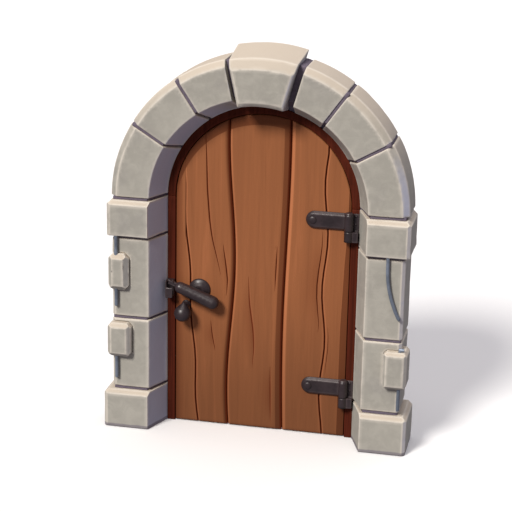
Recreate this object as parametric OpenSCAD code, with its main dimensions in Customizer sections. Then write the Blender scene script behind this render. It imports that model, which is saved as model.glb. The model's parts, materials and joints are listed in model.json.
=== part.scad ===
// An arched plank door hung in a splayed stone doorway, shown free of its wall.
// +X is to the right seen from outside, +Y goes into the wall and +Z is up.

/* [Doorway] */
// Half the width of the opening at the front of the stonework
opening_half = 650; // [540:5:780]
// How much each side of the opening narrows from the front to the door frame
splay = 72; // [55:1:86]
// Depth of the splayed reveal in front of the door frame
reveal = 165; // [140:5:200]
// Depth of the stones from their front face to their back face
wall_depth = 280; // [265:5:340]

/* [Jamb stones] */
// Height of the base stones
base_h = 245; // [200:5:290]
// Height of the lower jamb stones
lower_h = 440; // [415:5:520]
// Height of the upper jamb stones
upper_h = 490; // [410:5:585]
// Height of the imposts, which the arch springs from
impost_h = 220; // [180:5:260]
// Width of the jamb stones, measured on the front face and its outer bevel
jamb_w = 230; // [210:5:270]
// How much wider than the jamb the imposts are
impost_ledge = 25; // [15:1:40]
// How much wider than the jamb the base stones are
base_ledge = 50; // [30:1:60]
// How far the imposts and the base stones stand in front of the jambs
course_proud = 30; // [28:1:36]
// Bevel along the outer front corner of the jamb stones
corner_bevel = 20; // [8:1:26]
// Bevel around the top of the imposts and the base stones
top_bevel = 26; // [10:1:30]
// Small bevel along the other edges of the jamb stones
edge_bevel = 6; // [3:1:10]

/* [Arch stones] */
// Width of the arch ring from its inner to its outer edge
ring_w = 240; // [220:5:280]
// Bevel along the outer front edge of the arch stones
ring_bevel = 40; // [20:1:45]
// Angle of the joint between the first and second right-hand arch stones
joint_right_1 = 29.7; // [26:0.1:33]
// Angle of the joint between the second and third right-hand arch stones
joint_right_2 = 54.5; // [50:0.1:57]
// Angle of the joint to the right of the keystone
joint_key_right = 74.2; // [72:0.1:77]
// Angle of the joint to the left of the keystone
joint_key_left = 102.6; // [100:0.1:105]
// Angle of the joint between the third and second left-hand arch stones
joint_left_2 = 123.8; // [121:0.1:128]
// Angle of the joint between the second and first left-hand arch stones
joint_left_1 = 148.4; // [145:0.1:152]
// How far the keystone stands in front of the arch
key_proud = 45; // [30:1:50]
// How far the keystone rises above the arch ring at its back
key_rise = 45; // [30:1:60]
// Width of the sloping edges around the keystone's front
key_bevel = 30; // [15:1:36]

/* [Mortar] */
// Thickness of the mortar joints
joint = 15; // [10:1:20]
// Thickness of the mortar on the right of the keystone
joint_wide = 40; // [20:1:46]
// Thickness of the mortar on the left of the keystone
joint_medium = 28; // [16:1:34]
// How far the mortar is set back from the faces of the stones
mortar_set_back = 14; // [6:1:20]
// How far the mortar beside the keystone is set back
key_mortar_set_back = 60; // [20:1:80]

/* [Boss stones and iron rods] */
// Radius of the iron rods on the stonework
rod_r = 11; // [8:0.5:12]
// Distance of the rods' centre lines from the outer edge of the jamb
rod_inset = 34; // [28:1:40]
// Height of the upper left boss stone
boss_upper_h = 228; // [180:1:240]
// Height of the lower left boss stone
boss_left_h = 215; // [180:1:230]
// Height of the lower right boss stone
boss_right_h = 230; // [190:1:240]
// How far the largest boss stones stand in front of the jamb
boss_proud = 55; // [46:1:60]
// Radius of the bend in the loose rod on the right
bent_rod_r = 650; // [500:10:800]
// Angle through which the loose rod bends
bent_rod_angle = 28; // [15:1:30]

/* [Door frame] */
// Visible width of the timber frame
frame_w = 47; // [42:1:60]
// Depth of the timber frame
frame_depth = 88; // [80:1:94]
// How far the frame's front face is set back behind the end of the splay
frame_set_back = 5; // [2:1:8]
// How far the stop stands inward behind the leaf
stop_w = 18; // [12:1:24]

/* [Leaf] */
// Thickness of the boards
board_t = 45; // [38:1:48]
// Gap between the leaf and its frame
leaf_gap = 4; // [4:0.5:6]
// Gap under the leaf
floor_gap = 8; // [5:1:15]
// Gap between boards at the two wide joints
wide_gap = 4; // [2:0.5:6]
// Gap between boards at the two narrow joints
narrow_gap = 2; // [1:0.5:4]
// Thickness of the ledges across the back of the boards
ledge_t = 30; // [24:1:32]
// Height of each ledge
ledge_h = 110; // [96:1:130]
// Radius of the ledge nails
nail_r = 3; // [2.5:0.5:4]
// Length of the ledge nails under their heads
nail_len = 62; // [50:1:66]

/* [Hinges] */
// Depth of the upper hinge strap's centre under the spring of the arch
upper_hinge_drop = 76; // [60:2:290]
// Height of the lower hinge strap's centre above the floor
lower_hinge_z = 322; // [250:2:400]
// Length of a strap from its tip to the hinge pin
strap_len = 258; // [220:1:300]
// Height of a strap
strap_h = 104; // [90:1:110]
// Thickness of a strap
strap_t = 22; // [16:1:26]
// Bevel along the edges of a strap
strap_bevel = 13; // [6:1:15]
// Outer radius of the hinge barrels
barrel_r = 27; // [25:0.5:28]
// Radius of the hinge pins
pin_r = 11; // [9:0.5:13]
// Height of the pintle's fixed knuckle under the strap
knuckle_h = 62; // [50:1:80]
// Radius of the domed bolt heads on the straps
bolt_head_r = 23; // [18:0.5:26]

/* [Latch] */
// Distance of the latch spindle from the leaf's closing edge
spindle_inset = 149; // [140:1:160]
// Height of the latch spindle above the floor
spindle_z = 868; // [780:2:900]
// Angle at which the latch bar hangs when it is free of its keeper
bar_tilt = 21.5; // [18:0.5:22]
// Radius of the bar at its keeper end
bar_thin_r = 35; // [32:0.5:36]
// Radius of the bar at its handle end
bar_thick_r = 41; // [37:0.5:42]
// Length of the bar from the spindle to the handle's tip
handle_len = 149; // [125:1:160]
// Length of the bar from the spindle to its blunt keeper end
bar_back_len = 141; // [120:1:144]
// Length of the bar's tongue, measured from the spindle
tongue_len = 184; // [182:0.5:185]
// Radius of the domed rose behind the bar
rose_r = 68; // [60:1:70]
// Thickness of the rose at its centre
rose_t = 26; // [22:1:30]
// Radius of the latch spindle
spindle_r = 12; // [10:0.5:13]
// Radius of the ball on the pull knob
knob_r = 50; // [40:1:52]
// Distance of the pull knob from the leaf's closing edge
knob_inset = 62; // [58:1:90]
// Radius of the knob's shank
shank_r = 8; // [6:0.5:9]

/* [Hidden] */
$fn = 96;

// Colours
stone_colour = "#b4aea2";
mortar_colour = "#4c444c";
iron_colour = "#3b3438";
rod_colour = "#6d7480";
frame_colour = "#45190c";
leaf_colour = "#96603c";
back_colour = "#7d4f33";

// Clearances
run_clear = 0.05;    // between a pin and its bore, on the radius
seat_clear = 0.3;    // between pieces that rest on or slide past each other
swing_clear = 2;     // between a barrel and the boards behind it
pilot_clear = 0.5;   // between the latch spindle and the boards, on the radius
stop_clear = 3;      // between the leaf and the stop behind it
tongue_clear = 2.5;  // between the latch tongue and its keeper
plate_clear = 3;     // between a strap's barrel and the pintle plate
socket_clear = 0.15; // between an iron rod and the stone it enters, on the radius
cut = 1;             // how far a cutting shape runs past the surface it cuts

// Heights of the courses
lower_z = base_h + joint;
upper_z = lower_z + lower_h + joint;
impost_z = upper_z + upper_h + joint;
spring_z = impost_z + impost_h;
upper_hinge_z = spring_z - upper_hinge_drop;

// Plan of the doorway, with y = 0 at the front face of the jambs
throat_half = opening_half - splay;
jamb_out = opening_half + jamb_w;
impost_out = jamb_out + impost_ledge;
base_out = jamb_out + base_ledge;
ring_out = opening_half + ring_w;
key_out = ring_out + key_rise;

// The origin lies midway between the foremost boss stone and the back of the wall
face_y = -(wall_depth - boss_proud) / 2;

// Door frame
frame_y = reveal + frame_set_back;
frame_back = frame_y + frame_depth;
frame_out = throat_half - seat_clear;
frame_in = throat_half - frame_w;
leaf_half = frame_in - leaf_gap;
leaf_y = frame_y;
leaf_back = leaf_y + board_t;
stop_y = leaf_back + stop_clear;
stop_in = frame_in - stop_w;

// Board joints: middle as a share of the leaf's half-width, sideways wave, length of the
// wave, height where the wave starts, lean per metre of height, and the gap
BOARD_JOINTS = [
    [-0.832, 7, 560, 300, -62, narrow_gap],
    [-0.353, 21, 1560, 660, 0, wide_gap],
    [0.275, 14, 2500, 1170, 0, wide_gap],
    [0.724, 13, 650, 1087, 0, narrow_gap]
];
BOARD_COUNT = len(BOARD_JOINTS) + 1;
board_step = 80;
leaf_top = spring_z + leaf_half;

// Hinges
hinge_inset = 7;
hinge_x = leaf_half - hinge_inset;
hinge_y = leaf_y - swing_clear - barrel_r;
strap_end_r = strap_h / 2;
strap_tip_x = hinge_x - strap_len + strap_end_r;
bolt_x = strap_tip_x - 10;
bolt_r = 8;
nut_r = 17;
nut_t = 10;
ledge_end_gap = 17;
head_t = 9;
ledge_back = leaf_back + ledge_t;
plate_t = 8;
plate_x = hinge_x + plate_clear
    + sqrt(pow(barrel_r, 2) - pow(barrel_r + swing_clear - plate_t, 2));
plate_out = throat_half - 1;
plate_nail_x = (plate_x + plate_out) / 2;
plate_nail_len = 40;
web_half = 12;

// Latch
spindle_x = -(leaf_half - spindle_inset);
rose_y = leaf_y - rose_t;
bar_back = rose_y - 1.5;
bar_y = bar_back - bar_thin_r + 3;
bar_drop = 19;
tongue_t = 20;
tongue_h = 24;
tongue_y = bar_back - 20;
stop_r = 48;
stop_pin_r = 5;
stop_pin_len = 6;
stop_angle = -36;
keeper_in = -frame_in - 1;
keeper_out = -throat_half + 1;
keeper_front = tongue_y - tongue_t / 2 - tongue_clear - 9.5;
keeper_low = spindle_z - bar_drop - tongue_h / 2 - tongue_clear - 16;
keeper_lip = spindle_z - bar_drop + tongue_h / 2 + 22;
keeper_top = keeper_low + 106;
tang_h = 20;
tang_len = 55;

// Pull knob
knob_x = -(leaf_half - knob_inset);
knob_z = spindle_z - 137;
knob_y = leaf_y - 72;
knob_seat_x = knob_x + 4;
knob_seat_z = knob_z + 36;
knob_seat_r = 27;
knob_seat_t = 6;
knob_nut_r = 15;

// Boss stones: inner and outer edge, front and back, foot height and height
rod_y = -course_proud / 2;
rod_x = jamb_out - rod_inset;
UPPER_BOSS = [jamb_out - 113, jamb_out + 15, 46, 60, upper_z + upper_h - 320, boss_upper_h];
LEFT_BOSS = [jamb_out - 129, jamb_out + 20, boss_proud, 70, lower_z + 205, boss_left_h];
RIGHT_BOSS = [jamb_out - 105, jamb_out + 38, boss_proud, 100, lower_z + 165, boss_right_h];
right_rod_x = jamb_out - 8;
bent_rod_x = jamb_out - 102;
rod_socket = 24;

// ---------------------------------------------------------------- helpers

// Shapes drawn with y = 0 on the jambs' front face, moved into the part's own frame
module in_wall() {
    translate([0, face_y, 0])
        children();
}

module on_side(side) {
    mirror([side < 0 ? 1 : 0, 0, 0])
        children();
}

// Stands a flat outline, drawn as x and z, upright from y0 to y1
module upright(y0, y1) {
    translate([0, y1, 0])
        rotate([90, 0, 0])
            linear_extrude(y1 - y0)
                children();
}

// A round bar along y
module y_rod(x, y0, z, r, length) {
    translate([x, y0, z])
        rotate([-90, 0, 0])
            cylinder(r = r, h = length);
}

// ---------------------------------------------------------------- jambs

// Plan of a jamb stone, standing forward by proud and out to half-width out
module jamb_plan(out, proud, bevel) {
    polygon([
        [opening_half, -proud], [throat_half, reveal], [throat_half, wall_depth],
        [out, wall_depth], [out, bevel - proud], [out - bevel, -proud]
    ]);
}

// One jamb stone on the right, with its top and bottom edges bevelled
module jamb_stone(z, h, out, proud, bevel, top, foot) {
    intersection() {
        translate([0, 0, z])
            linear_extrude(h)
                jamb_plan(out, proud, bevel);
        upright(-proud - cut, wall_depth + cut)
            polygon([
                [0, z], [out - foot, z], [out, z + foot],
                [out, z + h - top], [out - top, z + h], [0, z + h]
            ]);
        rotate([90, 0, 90])
            linear_extrude(out + cut)
                polygon([
                    [-proud, z + foot], [foot - proud, z], [wall_depth, z],
                    [wall_depth, z + h], [top - proud, z + h], [-proud, z + h - top]
                ]);
    }
}

module base() {
    jamb_stone(0, base_h, base_out, course_proud, corner_bevel, top_bevel, edge_bevel);
}

module lower_jamb() {
    jamb_stone(lower_z, lower_h, jamb_out, 0, corner_bevel, edge_bevel, edge_bevel);
}

module upper_jamb() {
    jamb_stone(upper_z, upper_h, jamb_out, 0, corner_bevel, edge_bevel, edge_bevel);
}

module impost() {
    jamb_stone(impost_z, impost_h, impost_out, course_proud, corner_bevel, top_bevel,
               edge_bevel);
}

// A mortar bed under or over a jamb stone
module mortar_bed(z) {
    inner = opening_half + mortar_set_back;
    translate([0, 0, z])
        linear_extrude(joint)
            polygon([
                [inner, mortar_set_back], [inner - splay, reveal + mortar_set_back],
                [throat_half, reveal + mortar_set_back], [throat_half, wall_depth],
                [jamb_out - mortar_set_back, wall_depth],
                [jamb_out - mortar_set_back, mortar_set_back]
            ]);
}

module mortar_side() {
    for (z = [base_h, upper_z - joint, impost_z - joint])
        mortar_bed(z);
}

// ---------------------------------------------------------------- arch

// Turns an outline of radius and depth about the arch's centre from angle a0 to a1
module arch_turn(a0, a1) {
    translate([0, 0, spring_z])
        rotate([90, 0, 0])
            rotate([0, 0, a0])
                rotate_extrude(angle = a1 - a0, $fn = 180)
                    mirror([0, 1, 0])
                        children();
}

module ring_section() {
    polygon([
        [opening_half, 0], [throat_half, reveal], [throat_half, wall_depth],
        [ring_out, wall_depth], [ring_out, ring_bevel], [ring_out - ring_bevel, 0]
    ]);
}

module mortar_section(set_back) {
    polygon([
        [opening_half + mortar_set_back, set_back],
        [throat_half + mortar_set_back, reveal + mortar_set_back],
        [throat_half, reveal + mortar_set_back], [throat_half, wall_depth],
        [ring_out - mortar_set_back, wall_depth], [ring_out - mortar_set_back, set_back]
    ]);
}

// The flat slice that a mortar joint fills, centred on a radius of the arch
module joint_slice(angle, thickness) {
    translate([0, 0, spring_z])
        rotate([0, -angle, 0])
            translate([throat_half / 2, -2 * key_proud, -thickness / 2])
                cube([key_out, wall_depth + 3 * key_proud, thickness]);
}

// The level bed between an impost and the first arch stone
module springing_bed() {
    translate([-2 * base_out, -2 * key_proud, spring_z - cut])
        cube([4 * base_out, wall_depth + 3 * key_proud, joint + cut]);
}

module arch_stone(a0, joint_0, a1, joint_1) {
    difference() {
        arch_turn(a0, a1)
            ring_section();
        if (joint_0 == 0 || joint_1 == 0)
            springing_bed();
        if (joint_0 > 0)
            joint_slice(a0, joint_0);
        if (joint_1 > 0)
            joint_slice(a1, joint_1);
    }
}

// Cuts a slope along one side of the keystone's front; turn is 1 on its right, -1 on its left
module key_side_cut(angle, thickness, turn) {
    translate([0, 0, spring_z])
        rotate([0, -angle, 0])
            translate([0, -key_proud, turn * thickness / 2])
                rotate([turn * 40, 0, 0])
                    translate([0, -4 * key_bevel, -2 * key_bevel])
                        cube([2 * key_out, 4 * key_bevel, 4 * key_bevel]);
}

module keystone_section() {
    polygon([
        [opening_half - 38, 18 - key_proud], [throat_half, reveal], [throat_half, wall_depth],
        [key_out, wall_depth], [ring_out, 0], [ring_out - 1.5 * ring_bevel, -key_proud],
        [opening_half - 12, -key_proud]
    ]);
}

module keystone_body() {
    difference() {
        arch_turn(joint_key_right, joint_key_left)
            keystone_section();
        joint_slice(joint_key_right, joint_wide);
        joint_slice(joint_key_left, joint_medium);
        key_side_cut(joint_key_right, joint_wide + key_bevel, 1);
        key_side_cut(joint_key_left, joint_medium + key_bevel, -1);
    }
}

module arch_mortar() {
    for (a = [joint_right_1, joint_right_2, joint_left_2, joint_left_1])
        intersection() {
            joint_slice(a, joint);
            arch_turn(a - 10, a + 10)
                mortar_section(mortar_set_back);
        }
    intersection() {
        joint_slice(joint_key_right, joint_wide);
        arch_turn(joint_key_right - 10, joint_key_right + 10)
            mortar_section(key_mortar_set_back);
    }
    intersection() {
        joint_slice(joint_key_left, joint_medium);
        arch_turn(joint_key_left - 10, joint_key_left + 10)
            mortar_section(key_mortar_set_back);
    }
    for (side = [-1, 1])
        on_side(side)
            mortar_bed(spring_z);
}

// ---------------------------------------------------------------- boss stones and rods

// A projecting block: edges = [inner x, outer x, proud, depth, foot, height]
module boss(edges, bevel) {
    inner = edges[0];
    outer = edges[1];
    front = -edges[2];
    foot = edges[4];
    top = edges[4] + edges[5];
    intersection() {
        translate([0, 0, foot])
            linear_extrude(edges[5])
                polygon([
                    [inner, edges[3]], [outer, edges[3]], [outer, front + bevel],
                    [outer - bevel, front], [inner + bevel, front], [inner, front + bevel]
                ]);
        upright(front - cut, edges[3] + cut)
            polygon([
                [inner, foot + bevel], [inner + bevel, foot], [outer - bevel, foot],
                [outer, foot + bevel], [outer, top - bevel], [outer - bevel, top],
                [inner + bevel, top], [inner, top - bevel]
            ]);
        rotate([90, 0, 90])
            linear_extrude(outer + cut)
                polygon([
                    [front, foot + bevel], [front + bevel, foot], [edges[3], foot],
                    [edges[3], top], [front + bevel, top], [front, top - bevel]
                ]);
    }
}

module upper_boss() {
    boss(UPPER_BOSS, 30);
}

module left_boss() {
    boss(LEFT_BOSS, 26);
}

module right_boss() {
    boss(RIGHT_BOSS, 20);
}

// A straight upright rod with a rounded foot
module straight_rod(x, z0, z1, r) {
    translate([x, rod_y, z0 + r])
        cylinder(r = r, h = z1 - z0 - r);
    translate([x, rod_y, z0 + r])
        sphere(r = r);
}

module upper_rod(r = rod_r) {
    collar_z = UPPER_BOSS[4] + boss_upper_h;
    straight_rod(rod_x, UPPER_BOSS[4] - 105, impost_z + rod_socket, r);
    translate([rod_x, rod_y, collar_z])
        cylinder(r1 = 1.3 * rod_r, r2 = rod_r, h = 26);
}

module lower_rod(r = rod_r) {
    straight_rod(rod_x, LEFT_BOSS[4] - 145, LEFT_BOSS[4] + boss_left_h - 30, r);
}

// The lower right rod, which is bent outwards over the top of its boss stone
module right_rod(r = rod_r) {
    crook_z = RIGHT_BOSS[4] + boss_right_h + rod_r + seat_clear;
    straight_rod(right_rod_x, RIGHT_BOSS[4] - 145, crook_z, r);
    translate([right_rod_x, rod_y, crook_z])
        sphere(r = r);
    translate([right_rod_x, rod_y, crook_z])
        rotate([0, 90, 0])
            cylinder(r = r, h = 2.2 * rod_r);
}

// The loose rod: down from the impost, then curved outwards
module loose_rod(r = rod_r) {
    straight_end = impost_z - 60;
    translate([bent_rod_x, rod_y, straight_end])
        cylinder(r = r, h = impost_z + rod_socket - straight_end);
    translate([bent_rod_x + bent_rod_r, rod_y, straight_end])
        rotate([90, 0, 0])
            rotate([0, 0, 180])
                rotate_extrude(angle = bent_rod_angle, $fn = 180)
                    translate([bent_rod_r, 0])
                        circle(r = rod_r);
    translate([bent_rod_x + bent_rod_r * (1 - cos(bent_rod_angle)), rod_y,
               straight_end - bent_rod_r * sin(bent_rod_angle)])
        rotate([0, 180 - bent_rod_angle, 0])
            translate([0, 0, -cut])
                cylinder(r1 = 0.97 * rod_r, r2 = 0.6 * rod_r, h = rod_r + cut);
}

// ---------------------------------------------------------------- timber frame

module frame_profile() {
    polygon([
        [frame_in, frame_y], [frame_out, frame_y], [frame_out, frame_back],
        [stop_in, frame_back], [stop_in, stop_y], [frame_in, stop_y]
    ]);
}

module frame_post() {
    linear_extrude(spring_z)
        frame_profile();
}

module frame_head(a0, a1) {
    arch_turn(a0, a1)
        frame_profile();
}

// ---------------------------------------------------------------- leaf

function joint_x(i, z) =
    let (j = BOARD_JOINTS[i])
    j[0] * leaf_half + j[1] * sin(360 * (z - j[3]) / j[2]) + j[4] * (z - 900) / 1000;

function board_left(i, z) =
    i == 0 ? -leaf_half : joint_x(i - 1, z) + BOARD_JOINTS[i - 1][5] / 2;

function board_right(i, z) =
    i == BOARD_COUNT - 1 ? leaf_half : joint_x(i, z) - BOARD_JOINTS[i][5] / 2;

function board_middle(i, z) = (board_left(i, z) + board_right(i, z)) / 2;

module leaf_outline() {
    translate([-leaf_half, floor_gap])
        square([2 * leaf_half, spring_z - floor_gap]);
    translate([0, spring_z])
        circle(r = leaf_half, $fn = 180);
}

module board_outline(i) {
    heights = [for (z = [0 : board_step : leaf_top + board_step]) z];
    intersection() {
        leaf_outline();
        polygon(concat(
            [for (z = heights) [board_left(i, z), z]],
            [for (k = [len(heights) - 1 : -1 : 0]) [board_right(i, heights[k]), heights[k]]]
        ));
    }
}

module board(i) {
    difference() {
        upright(leaf_y, leaf_back)
            board_outline(i);
        leaf_holes();
    }
}

LEDGE_HEIGHTS = [lower_hinge_z, spindle_z, upper_hinge_z];

module ledge(k) {
    half = stop_in - ledge_end_gap;
    difference() {
        upright(leaf_back, ledge_back)
            translate([-half, LEDGE_HEIGHTS[k] - ledge_h / 2])
                square([2 * half, ledge_h]);
        leaf_holes();
    }
}

// The holes that run through the boards and the ledges
module leaf_holes() {
    nail_shanks();
    for (z = [lower_hinge_z, upper_hinge_z])
        y_rod(bolt_x, leaf_y - cut, z, bolt_r, ledge_back - leaf_y + 2 * cut);
    y_rod(spindle_x, leaf_y - cut, spindle_z, spindle_r + pilot_clear,
          ledge_back - leaf_y + 2 * cut);
    y_rod(knob_seat_x, leaf_y - cut, knob_seat_z, shank_r, board_t + 2 * cut);
}

// Places a child at each ledge nail
module at_nails() {
    for (z = LEDGE_HEIGHTS)
        for (i = [0 : BOARD_COUNT - 1])
            for (row = [-1, 1])
                translate([board_middle(i, z), ledge_back, z + row * (ledge_h / 2 - 22)])
                    children();
}

module nail_shanks() {
    at_nails()
        rotate([90, 0, 0])
            cylinder(r = nail_r, h = nail_len, $fn = 24);
}

module nail_set() {
    nail_shanks();
    at_nails()
        rotate([-90, 0, 0])
            cylinder(r1 = 2.6 * nail_r, r2 = 1.6 * nail_r, h = 4, $fn = 24);
}

// ---------------------------------------------------------------- hinges

module strap(z) {
    difference() {
        union() {
            translate([strap_tip_x, 0, z])
                rotate([90, 0, 90])
                    linear_extrude(hinge_x - strap_tip_x - 6)
                        polygon([
                            [leaf_y, -strap_end_r], [leaf_y, strap_end_r],
                            [leaf_y - strap_t + strap_bevel, strap_end_r],
                            [leaf_y - strap_t, strap_end_r - strap_bevel],
                            [leaf_y - strap_t, strap_bevel - strap_end_r],
                            [leaf_y - strap_t + strap_bevel, -strap_end_r]
                        ]);
            y_rod(strap_tip_x, leaf_y - strap_t + strap_bevel, z, strap_end_r,
                  strap_t - strap_bevel);
            translate([strap_tip_x, leaf_y - strap_t + strap_bevel, z])
                rotate([90, 0, 0])
                    cylinder(r1 = strap_end_r, r2 = strap_end_r - strap_bevel,
                             h = strap_bevel);
            translate([hinge_x, hinge_y, z - strap_end_r])
                cylinder(r = barrel_r, h = strap_h);
        }
        translate([hinge_x, hinge_y, z - strap_end_r - cut])
            cylinder(r = pin_r, h = strap_h + 2 * cut);
        y_rod(bolt_x, leaf_y - strap_t - cut, z, bolt_r, strap_t + 2 * cut);
    }
}

module strap_bolt(z) {
    y_rod(bolt_x, leaf_y - strap_t, z, bolt_r, ledge_back - leaf_y + strap_t + nut_t + 3);
    translate([bolt_x, leaf_y - strap_t, z])
        rotate([90, 0, 0])
            cylinder(r1 = bolt_head_r, r2 = 0.75 * bolt_head_r, h = head_t);
}

module back_nut(x, y, z, r, bore) {
    translate([x, y, z])
        rotate([-90, 0, 0])
            difference() {
                cylinder(r = r, h = nut_t, $fn = 6);
                translate([0, 0, -cut])
                    cylinder(r = bore, h = nut_t + 2 * cut);
            }
}

module plate_nails_at(z) {
    for (dz = [8, strap_end_r + 4])
        translate([plate_nail_x, frame_y - plate_t, z + dz - 20])
            children();
}

module pintle(z) {
    knuckle_top = z - strap_end_r - seat_clear;
    difference() {
        union() {
            translate([hinge_x, hinge_y, knuckle_top - knuckle_h])
                cylinder(r = barrel_r, h = knuckle_h);
            translate([hinge_x, hinge_y - web_half, knuckle_top - knuckle_h])
                cube([plate_out - hinge_x, web_half + frame_y - plate_t - hinge_y,
                      knuckle_h]);
            translate([plate_x, frame_y - plate_t, knuckle_top - knuckle_h])
                cube([plate_out - plate_x, plate_t, knuckle_h + strap_h]);
        }
        translate([hinge_x, hinge_y, knuckle_top - knuckle_h - cut])
            cylinder(r = pin_r - run_clear, h = knuckle_h + 2 * cut);
        plate_nails_at(z)
            rotate([-90, 0, 0])
                cylinder(r = nail_r, h = plate_nail_len, $fn = 24);
    }
}

// A headed pin, dropped through the strap's barrel into the pintle's knuckle
module hinge_pin(z) {
    knuckle_foot = z - strap_end_r - seat_clear - knuckle_h;
    head_z = z + strap_end_r + seat_clear;
    translate([hinge_x, hinge_y, knuckle_foot])
        cylinder(r = pin_r - run_clear, h = head_z - knuckle_foot);
    translate([hinge_x, hinge_y, head_z])
        cylinder(r1 = barrel_r - 1, r2 = barrel_r - 6, h = 9);
}

module plate_nail_set() {
    for (z = [lower_hinge_z, upper_hinge_z])
        plate_nails_at(z) {
            rotate([-90, 0, 0])
                cylinder(r = nail_r, h = plate_nail_len, $fn = 24);
            rotate([90, 0, 0])
                cylinder(r1 = 2.6 * nail_r, r2 = 1.6 * nail_r, h = 4, $fn = 24);
        }
}

module plate_nail_shanks() {
    for (z = [lower_hinge_z, upper_hinge_z])
        plate_nails_at(z)
            rotate([-90, 0, 0])
                cylinder(r = nail_r, h = plate_nail_len, $fn = 24);
}

// ---------------------------------------------------------------- latch

module keeper_body() {
    slot_front = tongue_y - tongue_t / 2 - tongue_clear;
    slot_back = tongue_y + tongue_t / 2 + tongue_clear;
    slot_foot = keeper_low + 16;
    difference() {
        union() {
            translate([keeper_out, keeper_front, keeper_low])
                cube([keeper_in - keeper_out, frame_y - keeper_front, keeper_top - keeper_low]);
            keeper_tang();
        }
        translate([keeper_out + 10, slot_front, slot_foot])
            cube([keeper_in - keeper_out, slot_back - slot_front, keeper_top]);
        translate([keeper_out + 10, keeper_front - cut, keeper_lip])
            cube([keeper_in - keeper_out, slot_back - keeper_front + cut, keeper_top]);
    }
}

module keeper_tang() {
    translate([(keeper_in + keeper_out - tang_h) / 2, frame_y - cut,
               (keeper_low + keeper_top - tang_h) / 2])
        cube([tang_h, tang_len + cut, tang_h]);
}

module rose() {
    difference() {
        union() {
            translate([spindle_x, leaf_y, spindle_z])
                rotate([90, 0, 0]) {
                    cylinder(r1 = rose_r, r2 = rose_r - 4, h = rose_t / 3);
                    translate([0, 0, rose_t / 3])
                        cylinder(r1 = rose_r - 4, r2 = rose_r - 16, h = rose_t / 3);
                    translate([0, 0, 2 * rose_t / 3])
                        cylinder(r1 = rose_r - 16, r2 = rose_r - 40, h = rose_t / 3);
                }
            y_rod(spindle_x + stop_r * cos(stop_angle), rose_y - 1.5 - stop_pin_len,
                  spindle_z + stop_r * sin(stop_angle), stop_pin_r,
                  rose_t + stop_pin_len);
        }
        y_rod(spindle_x, rose_y - cut, spindle_z, spindle_r + run_clear, rose_t + 2 * cut);
    }
}

// Half of the bar's long section, with x along the bar and its round ends at x0 and x1
module bar_half_outline(x0, x1) {
    intersection() {
        union() {
            polygon([[x0, 0], [x1, 0], [x1, bar_thick_r], [x0, bar_thin_r]]);
            translate([x0, 0])
                circle(r = bar_thin_r);
            translate([x1, 0])
                circle(r = bar_thick_r);
        }
        translate([-2 * handle_len, 0])
            square([4 * handle_len, 2 * bar_thick_r]);
    }
}

// The bar drawn level about its spindle
module level_bar() {
    handle_x = handle_len - bar_thick_r;
    blunt_x = bar_thin_r - bar_back_len;
    difference() {
        union() {
            translate([0, bar_y, -bar_drop])
                rotate([90, 0, 90])
                    rotate_extrude()
                        rotate([0, 0, 90])
                            bar_half_outline(blunt_x, handle_x);
            translate([-tongue_len, tongue_y - tongue_t / 2, -bar_drop - tongue_h / 2])
                cube([tongue_len + blunt_x, tongue_t, tongue_h]);
        }
        translate([-2 * handle_len, bar_back, -2 * handle_len])
            cube([4 * handle_len, bar_thick_r, 4 * handle_len]);
        y_rod(0, bar_y, 0, spindle_r, bar_back - bar_y + cut);
        stop_slot();
    }
}

// The pocket in the bar's back that the rose's stop pin moves in
module stop_slot() {
    depth = stop_pin_len + 2;
    half_travel = stop_r * sin(bar_tilt / 2) + stop_pin_r + seat_clear;
    half_wide = stop_pin_r + seat_clear + stop_r * (1 - cos(bar_tilt / 2)) / 2;
    middle = stop_r * (1 + cos(bar_tilt / 2)) / 2;
    rotate([0, -stop_angle - bar_tilt / 2, 0])
        translate([middle - half_wide, bar_back - depth, -half_travel])
            cube([2 * half_wide, depth + bar_thick_r, 2 * half_travel]);
}

module bar() {
    translate([spindle_x, 0, spindle_z])
        rotate([0, bar_tilt, 0])
            level_bar();
}

module spindle() {
    y_rod(spindle_x, bar_y, spindle_z, spindle_r, ledge_back + nut_t + 4 - bar_y);
}

module knob() {
    lean_x = knob_seat_x - knob_x;
    lean_z = knob_seat_z - knob_z;
    lean_y = leaf_y - knob_seat_t - knob_y;
    reach = norm([lean_x, lean_y, lean_z]);
    translate([knob_x, knob_y, knob_z])
        sphere(r = knob_r);
    difference() {
        translate([knob_x, knob_y, knob_z])
            rotate([-acos(lean_z / reach), 0, 0])
                rotate([0, atan2(lean_x, norm([lean_y, lean_z])), 0])
                    cylinder(r1 = knob_r - 3, r2 = knob_seat_r - 8, h = reach + 12);
        translate([knob_x - 2 * knob_r, leaf_y - knob_seat_t, knob_z - 2 * knob_r])
            cube([4 * knob_r, 4 * knob_r, 5 * knob_r]);
    }
    y_rod(knob_seat_x, leaf_y - knob_seat_t, knob_seat_z, knob_seat_r, knob_seat_t);
    y_rod(knob_seat_x, leaf_y - knob_seat_t, knob_seat_z, shank_r,
          board_t + knob_seat_t + nut_t + 3);
}

// ---------------------------------------------------------------- sub-parts

module base_left() { color(stone_colour) in_wall() on_side(-1) base(); }
module base_right() { color(stone_colour) in_wall() on_side(1) base(); }

module lower_jamb_left() {
    color(stone_colour)
        in_wall()
            on_side(-1)
                difference() {
                    lower_jamb();
                    left_boss();
                }
}

module lower_jamb_right() {
    color(stone_colour)
        in_wall()
            difference() {
                lower_jamb();
                right_boss();
            }
}

module upper_jamb_left() {
    color(stone_colour)
        in_wall()
            on_side(-1)
                difference() {
                    upper_jamb();
                    upper_boss();
                }
}

module upper_jamb_right() { color(stone_colour) in_wall() upper_jamb(); }

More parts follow.
